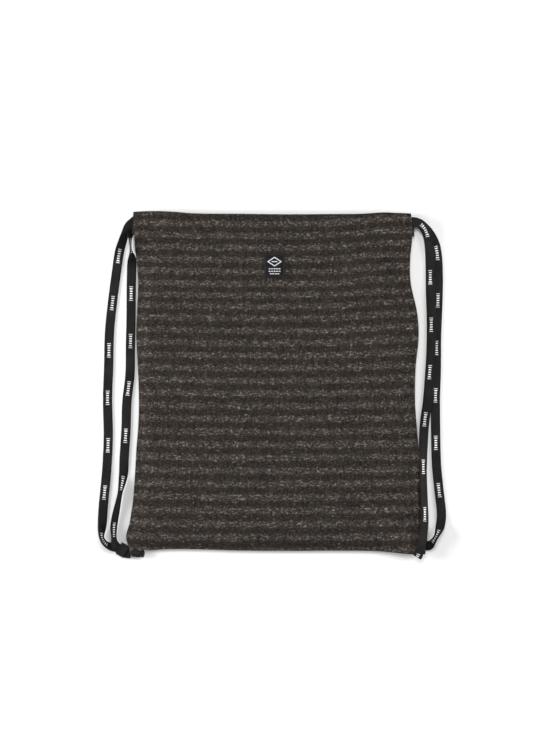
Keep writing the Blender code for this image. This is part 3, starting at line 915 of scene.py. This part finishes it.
def knot_stations(middle, ahead, aside, height):
    """A tape wound round itself: a little over two tight turns along the knot."""
    stations = []
    for k in range(WOUND_STATIONS + 1):
        share = k / WOUND_STATIONS
        angle = 2 * pi * WOUND_TURNS * share
        plump = sin(pi * (0.16 + 0.68 * share)) ** 0.6
        wide, tall = (KNOT_WIDTH / 2 - WOUND_INSET) * plump, (height / 2 - WOUND_INSET) * plump
        run = (share - 0.5) * (KNOT_LENGTH - WOUND_END_ROOM)
        spot = middle + ahead * run + aside * wide * cos(angle)
        spot.z += tall * sin(angle)
        width = ahead + aside * WOUND_SLANT * sin(angle)
        width.z -= WOUND_SLANT * cos(angle)
        stations.append((spot, width.normalized()))
    return stations


def knot_end(middle, ahead, aside, height, side):
    """One short end of the tape, pulled out of the knot down to the floor."""
    stations = []
    for k in range(END_STATIONS + 1):
        share = k / END_STATIONS
        spot = middle + ahead * (END_START[0] + END_RUN[0] * share)
        spot += aside * side * (END_START[1] + END_RUN[1] * share)
        spot.z += -(height / 2 - END_TIP_HEIGHT) * smooth(share) + ENDS_APART * side
        stations.append((spot, aside - ahead * END_SLANT * side))
    return stations


def knot(side, place, heading, height, material):
    """A pulled-tight knot of the tape: its wound turns, its core and its two short ends."""
    ahead, aside = heading_axes(heading)
    middle = Vector((*place, FLOOR_CLEARANCE + height / 2))
    stations = knot_stations(middle, ahead, aside, height)
    whole = ribbon(stations, unmarked(stations), **WOUND_TAPE)
    for sign in (-1, 1):
        stations = knot_end(middle, ahead, aside, height, sign)
        join(whole, ribbon(stations, unmarked(stations), **END_TAPE))
    core = bmesh.new()
    bmesh.ops.create_uvsphere(core, u_segments=24, v_segments=14, radius=0.5)
    uv = {}
    for vert in core.verts:
        x, y, z = vert.co
        reach = ahead * x * (KNOT_LENGTH - CORE_INSETS[0]) + aside * y * (KNOT_WIDTH - CORE_INSETS[1])
        vert.co = middle + reach
        vert.co.z += z * (height - CORE_INSETS[2])
        uv[vert] = (CORE_ACROSS + y * KNOT_WIDTH, x * KNOT_LENGTH)
    write_uv(core, "tape", uv)
    join(whole, core)
    made = finished(side + "_tied_knot", whole, material)
    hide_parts(side + "_knot")
    return made


def join(bm, other):
    """Adds one mesh to another, with its UV map."""
    mesh = mesh_of("joined", other)
    bm.from_mesh(mesh)
    bpy.data.meshes.remove(mesh)


def corner_tab(side, place, heading, material):
    """The folded tape sewn into a corner, round which the drawcord is tied."""
    ahead, aside = heading_axes(heading)
    start = Vector((*place, FLOOR_CLEARANCE))
    low, high = TAPE / 2, TAB_HOLE + TAPE * 1.5
    radius = (high - low) / 2
    straight = TAB_LENGTH - radius - TAPE / 2
    outline = [(straight * k / TAB_ROWS, low) for k in range(TAB_ROWS)]
    for k in range(TAB_TURN + 1):
        angle = pi * (k / TAB_TURN - 0.5)
        outline.append((straight + radius * cos(angle), low + radius + radius * sin(angle)))
    outline += [(straight * k / TAB_ROWS, high) for k in range(TAB_ROWS - 1, -1, -1)]
    stations = [(start + ahead * x + Vector((0, 0, z)), aside) for x, z in outline]
    made = finished(side + "_tab", ribbon(stations, unmarked(stations)), material)
    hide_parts(side + "_corner_tab")


# Cloth


def between(at, ends):
    """0 to 1 from one place to the other, with level ends."""
    return smooth((at - ends[0]) / (ends[1] - ends[0]))


def stripe_place(across, y):
    """Distance down the cloth in even stripes: the knit's own lengthways coordinate."""
    lifted = STRIPE_LIFT * between(across, STRIPE_LIFT_ACROSS) * between(y, STRIPE_LIFT_UP)
    lifted -= STRIPE_SAG * (1 - across * across) + STRIPE_DROP * between(y, STRIPE_DROP_UP)
    down = STRIPE_TOP - (y - lifted)
    reach = STRIPE_TOP - STRIPE_BOTTOM
    first = reach * (1 - STRIPE_GROWTH) / STRIPE_GAPS
    gaps = down / first * (1 - STRIPE_GROWTH * down / reach)
    return gaps * cloth_settings().stripe_pitch


def across_places():
    """Places across the sheet, a little closer together at its edges."""
    count = round(BAG_WIDTH / SHEET_STEP)
    even = [2 * k / count - 1 for k in range(count + 1)]
    return [(1 - EDGE_EASE) * a + EDGE_EASE * sin(pi / 2 * a) for a in even]


def undulation(across, y, seed):
    """Soft unevenness of cloth that isn't ironed, fading at the sewn edges."""
    x = across * BAG_WIDTH / 2
    return UNDULATION * sum(
        share * noise.noise(Vector((x * rate_across, y * rate_up, seed + step)))
        for rate_across, rate_up, step, share in UNDULATIONS
    )


def from_edges(across, y):
    """Distances from the nearer side's edge and from the foot's."""
    return (1 - abs(across)) * BAG_WIDTH / 2, max(0.0, y - foot_y(across))


def pucker(across, y, seed):
    """Small gathers of the cloth along its sewn edges."""
    side, foot = from_edges(across, y)
    wander = noise.noise(Vector((across * 3, y * 25, seed))) * PUCKER_WANDER
    up_side = sin(2 * pi * y / PUCKER_PITCH + wander) * exp(-side / PUCKER_REACH)
    x = across * BAG_WIDTH / 2
    on_foot = sin(2 * pi * x / PUCKER_PITCH + wander) * exp(-foot / PUCKER_REACH)
    return PUCKER * (up_side + on_foot)


def roll_lift(across, y):
    """How far a sheet's edge stands off the seam's plane to make room for its rolled edge."""
    side, foot = from_edges(across, y)
    near = max(1 - side / ROLL_REACH, 1 - foot / ROLL_REACH)
    body = 1 - hem_share(across, y, HEM_STEP)
    return (2 * SEAM_ROLL + KNIT / 2 - SEAM_GAP / 2 - CLOTH / 2) * smooth(near) * body


def dip(across, y):
    """Depth of the stitched line of the hem."""
    off = (from_mouth(across, y) - HEM_DEPTH) / STITCH_DIP_REACH
    return STITCH_DIP * exp(-off * off)


def outer_height(across, y, is_front, seed):
    """Height of the middle of the outer cloth."""
    gathers = pucker(across, y, seed)
    lift = roll_lift(across, y)
    if is_front:
        wavy = undulation(across, y, seed) * rise(across, y, UNDULATION_SHOULDER, UNDULATION_SHOULDER)
        lift += (wavy + gathers) * (1 - HEM_CALM * hem_share(across, y, HEM_BLEND))
        return front_top(across, y) - CLOTH / 2 + lift - dip(across, y)
    lift += gathers * BACK_GATHERS * (1 - rise(across, y, BACK_SHOULDER, BACK_SHOULDER))
    return max(back_bottom(across, y) + CLOTH / 2 - lift, KNIT / 2) + dip(across, y)


def inner_height(across, y, is_front, seed):
    """Height of the middle of the hem's turned-in cloth, pressed to the outer one at the stitches."""
    apart = HEM_STACK - CLOTH
    above = HEM_DEPTH - from_mouth(across, y)
    gap = PRESSED + (apart - PRESSED) * smooth(above / PINCH)
    outer = outer_height(across, y, is_front, seed)
    return outer - gap if is_front else outer + gap


def sheet_profile(across, is_front, seed):
    """World y and height of each row of a sheet at one place across it.

    The rows run in from the seam at the foot, up the panel, round the mouth and down inside the hem.
    """
    foot, mouth = foot_y(across), mouth_y(across) + peek(is_front)
    line = mouth - HEM_DEPTH
    down = -1 if is_front else 1
    edge = outer_height(across, foot, is_front, seed)
    rows = [
        (foot - SEAM_ROLL * sin(turn) + reach, edge + down * SEAM_ROLL * (1 - cos(turn)))
        for reach, turn in SEAM_ROWS
    ]
    radius = (HEM_STACK - CLOTH) / 2
    turn_at = mouth - radius - KNIT / 2
    body = round((BAG_HEIGHT - HEM_DEPTH) / SHEET_STEP)
    climbing = []
    for k in range(body + 1):
        share = (1 - SHEET_EASE) * k / body + SHEET_EASE * (1 - cos(pi / 2 * k / body))
        climbing.append(foot + (line - foot) * share)
    climbing += [line + (turn_at - line) * k / HEM_ROWS for k in range(1, HEM_ROWS + 1)]
    rows += [(y, outer_height(across, y, is_front, seed)) for y in climbing]
    top = rows[-1][1]
    for k in range(1, HEM_TURN):
        angle = pi * k / HEM_TURN
        rows.append((turn_at + radius * sin(angle), top + down * radius * (1 - cos(angle))))
    falling = [turn_at + (line - turn_at) * k / HEM_ROWS for k in range(HEM_ROWS + 1)]
    falling += [line - HEM_TAIL, line - 2 * HEM_TAIL]
    return rows + [(y, inner_height(across, y, is_front, seed)) for y in falling]


def cloth_sheet(name, is_front, node, material, seed):
    """One panel with its hem, from a flat grid laid over the profile of each of its columns."""
    down = -1 if is_front else 1
    columns = [(-1, -1, *roll) for roll in SEAM_ROWS]
    columns += [(across, 1, 0, 0) for across in across_places()]
    columns += [(1, 1, *roll) for roll in reversed(SEAM_ROWS)]
    rows = sheet_profile(0, is_front, seed)
    crest = max(range(len(rows)), key=lambda k: rows[k][0])
    bm, grid = grid_of(len(columns) - 1, len(rows) - 1)
    uv = {}
    for column, (across, side, reach, turn) in enumerate(columns):
        profile = sheet_profile(across, is_front, seed)
        edge = profile[len(SEAM_ROWS)][1]
        for row, (y, z) in enumerate(profile):
            small = 1 - (1 - HEM_SMALL_SHARE) * hem_share(across, y, HEM_STEP)
            radius = SEAM_ROLL * small
            x = edge_x(across, max(foot_y(across), min(mouth_y(across), y)))
            x += side * (radius * sin(turn) - reach * small * small)
            drop = radius * (1 - cos(turn))
            if row < len(SEAM_ROWS):
                drop = max(drop, abs(z - edge))
                z = edge
            vert = grid[row][column]
            vert.co = (x, y, z + down * drop)
            flat_x = across * BAG_WIDTH / 2 + side * (reach + radius * turn)
            flat_y = stripe_place(across, y)
            if row > crest:
                flat_y = 2 * uv[grid[crest][column]][1] - flat_y
            uv[vert] = (flat_x, flat_y)
    write_uv(bm, "cloth", uv)
    bmesh.ops.recalc_face_normals(bm, faces=bm.faces)
    sheet = finished(name, bm, material)
    thicken(sheet, KNIT, 0)
    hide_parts(node)
    return sheet


def stitch_row(name, places, material):
    """Short stitches of thread, one at each place, turned along the row."""
    bm = bmesh.new()
    for start, end in zip(places, places[1:]):
        made = bmesh.ops.create_icosphere(bm, subdivisions=2, radius=0.5)["verts"]
        run = (end - start).normalized()
        aside = Vector((0, 0, 1)).cross(run).normalized()
        up = run.cross(aside)
        middle = (start + end) / 2
        for vert in made:
            x, y, z = vert.co
            reach = aside * y * THREAD_WIDTH + up * z * THREAD_HEIGHT
            vert.co = middle + run * x * STITCH_LENGTH + reach
    return finished(name, bm, material)


def hem_stitches(is_front, material, seed):
    """The row of stitches that closes a tunnel."""
    side = 1 if is_front else -1
    count = round(HEM_STITCHED_WIDTH / STITCH_PITCH)
    places = []
    for k in range(count + 1):
        across = HEM_STITCHED_SHARE * (2 * k / count - 1)
        y = mouth_y(across) - HEM_DEPTH + peek(is_front)
        z = outer_height(across, y, is_front, seed) + side * (KNIT / 2 + THREAD_WIDTH / 8)
        places.append(Vector((edge_x(across, y), y, z)))
    return stitch_row("front_hem_thread" if is_front else "back_hem_thread", places, material)


def label_frame():
    """The middle of the label's base, and the label's size."""
    (x0, y0, z0), (x1, y1, z1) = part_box("label")
    return Vector(((x0 + x1) / 2, (y0 + y1) / 2, z0)), Vector((x1 - x0, y1 - y0, z1 - z0))


def label_patch(material):
    """A thin woven patch with rounded corners and a soft folded edge."""
    middle, size = label_frame()
    bm, grid = grid_of(PATCH_CELLS, PATCH_CELLS)
    for vert in sum(grid, []):
        x, y = vert.co.x, vert.co.y
        corner = max(0.0, abs(x) + abs(y) - 2 + 2 * LABEL_CORNER / LABEL_WIDTH)
        pull = corner * PATCH_CORNER_PULL
        sink = smooth((max(abs(x), abs(y)) - 1 + PATCH_EDGE) / PATCH_EDGE) * PATCH_SINK
        wave = noise.noise(Vector((x * 1.3, y * 1.3, 3.1))) * PATCH_WAVE
        place = Vector((x * size.x / 2, y * size.y / 2, size.z - PATCH_BELOW_TOP - sink + wave))
        place.x -= pull * size.x / 2 * (1 if x > 0 else -1)
        place.y -= pull * size.y / 2 * (1 if y > 0 else -1)
        vert.co = middle + place
    bmesh.ops.recalc_face_normals(bm, faces=bm.faces)
    patch = finished("label_patch", bm, material)
    thicken(patch, PATCH, -1)
    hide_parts("label")


def label_motif(material):
    """A plain woven lozenge over three rows of short bars."""
    middle, size = label_frame()
    top = middle + Vector((0, 0, size.z - MOTIF_BELOW_TOP))
    bm = bmesh.new()
    rings = []
    for radius in LOZENGE_RADII:
        made = bmesh.ops.create_circle(bm, segments=4, radius=radius)["verts"]
        for vert in made:
            vert.co.y *= LOZENGE_SQUASH
            vert.co += top + Vector((0, LOZENGE_UP, 0))
        rings += [e for e in bm.edges if all(v in made for v in e.verts)]
    bmesh.ops.bridge_loops(bm, edges=rings)
    bars = [
        (BAR_PITCH * (k - (count - 1) / 2), y, BAR_LENGTH)
        for y, count in BAR_ROWS
        for k in range(count)
    ]
    for x, y, length in bars + [(0, LOZENGE_UP, LOZENGE_BAR)]:
        made = bmesh.ops.create_grid(bm, x_segments=1, y_segments=1, size=0.5)["verts"]
        for vert in made:
            vert.co = top + Vector((x + vert.co.x * length, y + vert.co.y * BAR_HEIGHT, 0))
    made = bmesh.ops.extrude_face_region(bm, geom=list(bm.faces))
    raised = [item for item in made["geom"] if isinstance(item, bmesh.types.BMVert)]
    bmesh.ops.translate(bm, vec=(0, 0, MOTIF_RELIEF), verts=raised)
    bmesh.ops.recalc_face_normals(bm, faces=bm.faces)
    motif = finished("label_motif", bm, material)
    motif.data.shade_flat()


def label_stitches(material):
    """The thread that sews the patch down, just inside its edge."""
    middle, size = label_frame()
    half_x, half_y = size.x / 2 - PATCH_STITCH_INSET, size.y / 2 - PATCH_STITCH_INSET
    corners = [(-half_x, -half_y), (half_x, -half_y), (half_x, half_y), (-half_x, half_y)]
    places = []
    for (ax, ay), (bx, by) in zip(corners, corners[1:] + corners[:1]):
        count = round(hypot(bx - ax, by - ay) / PATCH_STITCH_PITCH)
        for k in range(count):
            x, y = ax + (bx - ax) * k / count, ay + (by - ay) * k / count
            places.append(middle + Vector((x, y, size.z - PATCH_BELOW_TOP)))
    stitch_row("label_thread", places + places[:1], material)


# Settings and operators


def length_of(name, description, default):
    return FloatProperty(name=name, description=description, default=default, min=0, unit="LENGTH")


def colour_of(name, description, default):
    return FloatVectorProperty(
        name=name, description=description, default=default, min=0, max=1, subtype="COLOR"
    )


class GymsackCloth(bpy.types.PropertyGroup):
    """Sizes and colours of the knit"""

    stripe_pitch: length_of("Stripe pitch", "From one light stripe to the next, up the cloth", 0.0162)
    stripe_wander: length_of("Stripe wander", "How far a stripe's edge strays", 0.0080)
    wale: length_of("Wale", "Width of one column of stitches", 0.00150)
    course: length_of("Course", "Height of one row of stitches", 0.00130)
    relief: length_of("Relief", "Height of the stitches' bump", 0.00040)
    dark: colour_of("Dark stripe", "Colour of the dark stripes' yarn", (0.0222, 0.0182, 0.0154))
    light: colour_of("Light stripe", "Colour of the light stripes' yarn", (0.0350, 0.0291, 0.0250))
    fleck: colour_of("Fleck", "Colour of the pale fibres", (0.138, 0.122, 0.109))


class GymsackTape(bpy.types.PropertyGroup):
    """Sizes and colours of the tape"""

    rib: length_of("Rib", "Pitch of the weave's ribs", 0.0010)
    mark_pitch: length_of("Mark pitch", "From one woven mark to the next", 0.0612)
    mark_length: length_of("Mark length", "Length of a woven mark", 0.0180)
    mark_width: length_of("Mark width", "Width of a woven mark", 0.0047)
    colour: colour_of("Tape", "Colour of the tape", (0.0095, 0.0086, 0.0082))
    mark_colour: colour_of("Marks", "Colour of the woven marks", (0.72, 0.72, 0.72))


class GymsackTrim(bpy.types.PropertyGroup):
    """Colours of the label and the thread"""

    label: colour_of("Label", "Colour of the label's ground", (0.0055, 0.0052, 0.0062))
    motif: colour_of("Motif", "Colour of the label's motif", (0.55, 0.56, 0.60))
    thread: colour_of("Thread", "Colour of the sewing thread", (0.022, 0.020, 0.018))


class GymsackStage(bpy.types.PropertyGroup):
    """The studio"""

    lamp_power: FloatProperty(
        name="Lamp power", description="Power of a full soft box", default=60.0, unit="POWER"
    )
    sky: FloatProperty(
        name="Room light", description="Strength of the even light of the room", default=0.22
    )
    floor: colour_of("Floor", "Colour of the floor", (0.71, 0.71, 0.71))


class GYMSACK_OT_stage(bpy.types.Operator):
    """Add the camera, the floor and the soft boxes"""

    bl_idname = "gymsack.stage"
    bl_label = "Studio"

    def execute(self, context):
        setting = context.scene.gymsack_stage
        lens = bpy.data.cameras.new("camera")
        lens.lens = CAMERA_LENS
        camera = placed("camera", lens)
        camera.location = CAMERA_AT
        context.scene.camera = camera

        bm, _ = grid_of(1, 1)
        bmesh.ops.scale(bm, vec=(FLOOR_SIZE, FLOOR_SIZE, 1), verts=bm.verts)
        floor = placed("floor", mesh_of("floor", bm))
        paper = Finish("floor_paper", 0.9, shine=0.0)
        paper.surface.inputs["Base Color"].default_value = rgba(setting.floor)
        floor.data.materials.append(paper.material)

        for name, heading, height, share in LAMPS:
            data = bpy.data.lights.new(name, "AREA")
            data.shape = "SQUARE"
            data.size = LAMP_SIZE
            data.energy = setting.lamp_power * share
            lamp = placed(name, data)
            away = heading_axes(heading)[0] * cos(radians(height))
            away.z = sin(radians(height))
            lamp.location = away * LAMP_AWAY
            lamp.rotation_euler = away.to_track_quat("Z", "Y").to_euler()

        world = bpy.data.worlds.new("room")
        world.use_nodes = True
        background = world.node_tree.nodes["Background"]
        background.inputs["Color"].default_value = (1, 1, 1, 1)
        background.inputs["Strength"].default_value = setting.sky
        context.scene.world = world
        context.scene.view_settings.view_transform = "Standard"
        return {"FINISHED"}


class GYMSACK_OT_tapes(bpy.types.Operator):
    """Lay the two drawcords, their knots and the corner tabs"""

    bl_idname = "gymsack.tapes"
    bl_label = "Drawcords, knots and tabs"

    def execute(self, context):
        woven = tape_finish()
        near, far = NEAR_FAR_LANES
        left, left_places = drawcord("left", LEFT_OUTER, LEFT_INNER, (near, far), 0, woven)
        right, right_places = drawcord("right", RIGHT_INNER, RIGHT_OUTER, (far, near), 1, woven)
        left_knot = knot("left", LEFT_KNOT_AT, LEFT_KNOT_HEADING, KNOT_HEIGHT, woven)
        right_knot = knot("right", HIDDEN_KNOT_AT, HIDDEN_KNOT_HEADING, HIDDEN_KNOT_HEIGHT, woven)
        corner_tab("left", LEFT_TAB_AT, LEFT_TAB_HEADING, woven)
        corner_tab("right", RIGHT_TAB_AT, RIGHT_TAB_HEADING, woven)
        return {"FINISHED"}


class GYMSACK_OT_cloth(bpy.types.Operator):
    """Lay the front and back cloth with their hems"""

    bl_idname = "gymsack.cloth"
    bl_label = "Cloth"

    def execute(self, context):
        knit = knit_finish()
        thread = thread_finish("hem_thread", context.scene.gymsack_trim.thread)
        back = cloth_sheet("back_cloth", False, "back_panel", knit, BACK_SEED)
        front = cloth_sheet("front_cloth", True, "front_panel", knit, FRONT_SEED)
        front_row = hem_stitches(True, thread, FRONT_SEED)
        back_row = hem_stitches(False, thread, BACK_SEED)
        return {"FINISHED"}


class GYMSACK_OT_label(bpy.types.Operator):
    """Sew the label on"""

    bl_idname = "gymsack.label"
    bl_label = "Label"

    def execute(self, context):
        trim = context.scene.gymsack_trim
        label_patch(label_finish(trim.label))
        label_motif(thread_finish("motif_yarn", trim.motif))
        label_stitches(thread_finish("label_thread", trim.thread))
        return {"FINISHED"}


class GYMSACK_PT_panel(bpy.types.Panel):
    """Settings and steps of the gym sack"""

    bl_idname = "GYMSACK_PT_panel"
    bl_label = "Gym sack"
    bl_space_type = "VIEW_3D"
    bl_region_type = "UI"
    bl_category = "Gym sack"

    def draw(self, context):
        layout = self.layout
        for group in ("gymsack_cloth", "gymsack_tape", "gymsack_trim", "gymsack_stage"):
            settings = getattr(context.scene, group)
            box = layout.box()
            for name in settings.bl_rna.properties.keys():
                if name not in ("rna_type", "name"):
                    box.prop(settings, name)
        for step in STEPS:
            layout.operator(step.bl_idname)


STEPS = (GYMSACK_OT_stage, GYMSACK_OT_tapes, GYMSACK_OT_cloth, GYMSACK_OT_label)
GROUPS = {
    "gymsack_cloth": GymsackCloth,
    "gymsack_tape": GymsackTape,
    "gymsack_trim": GymsackTrim,
    "gymsack_stage": GymsackStage,
}


def register():
    for name, group in GROUPS.items():
        bpy.utils.register_class(group)
        setattr(bpy.types.Scene, name, PointerProperty(type=group))
    for step in (*STEPS, GYMSACK_PT_panel):
        bpy.utils.register_class(step)


def unregister():
    for step in (GYMSACK_PT_panel, *reversed(STEPS)):
        bpy.utils.unregister_class(step)
    for name, group in reversed(GROUPS.items()):
        delattr(bpy.types.Scene, name)
        bpy.utils.unregister_class(group)


def main():
    register()
    bpy.ops.gymsack.stage()
    bpy.ops.gymsack.tapes()
    bpy.ops.gymsack.cloth()
    bpy.ops.gymsack.label()


if __name__ == "__main__":
    main()
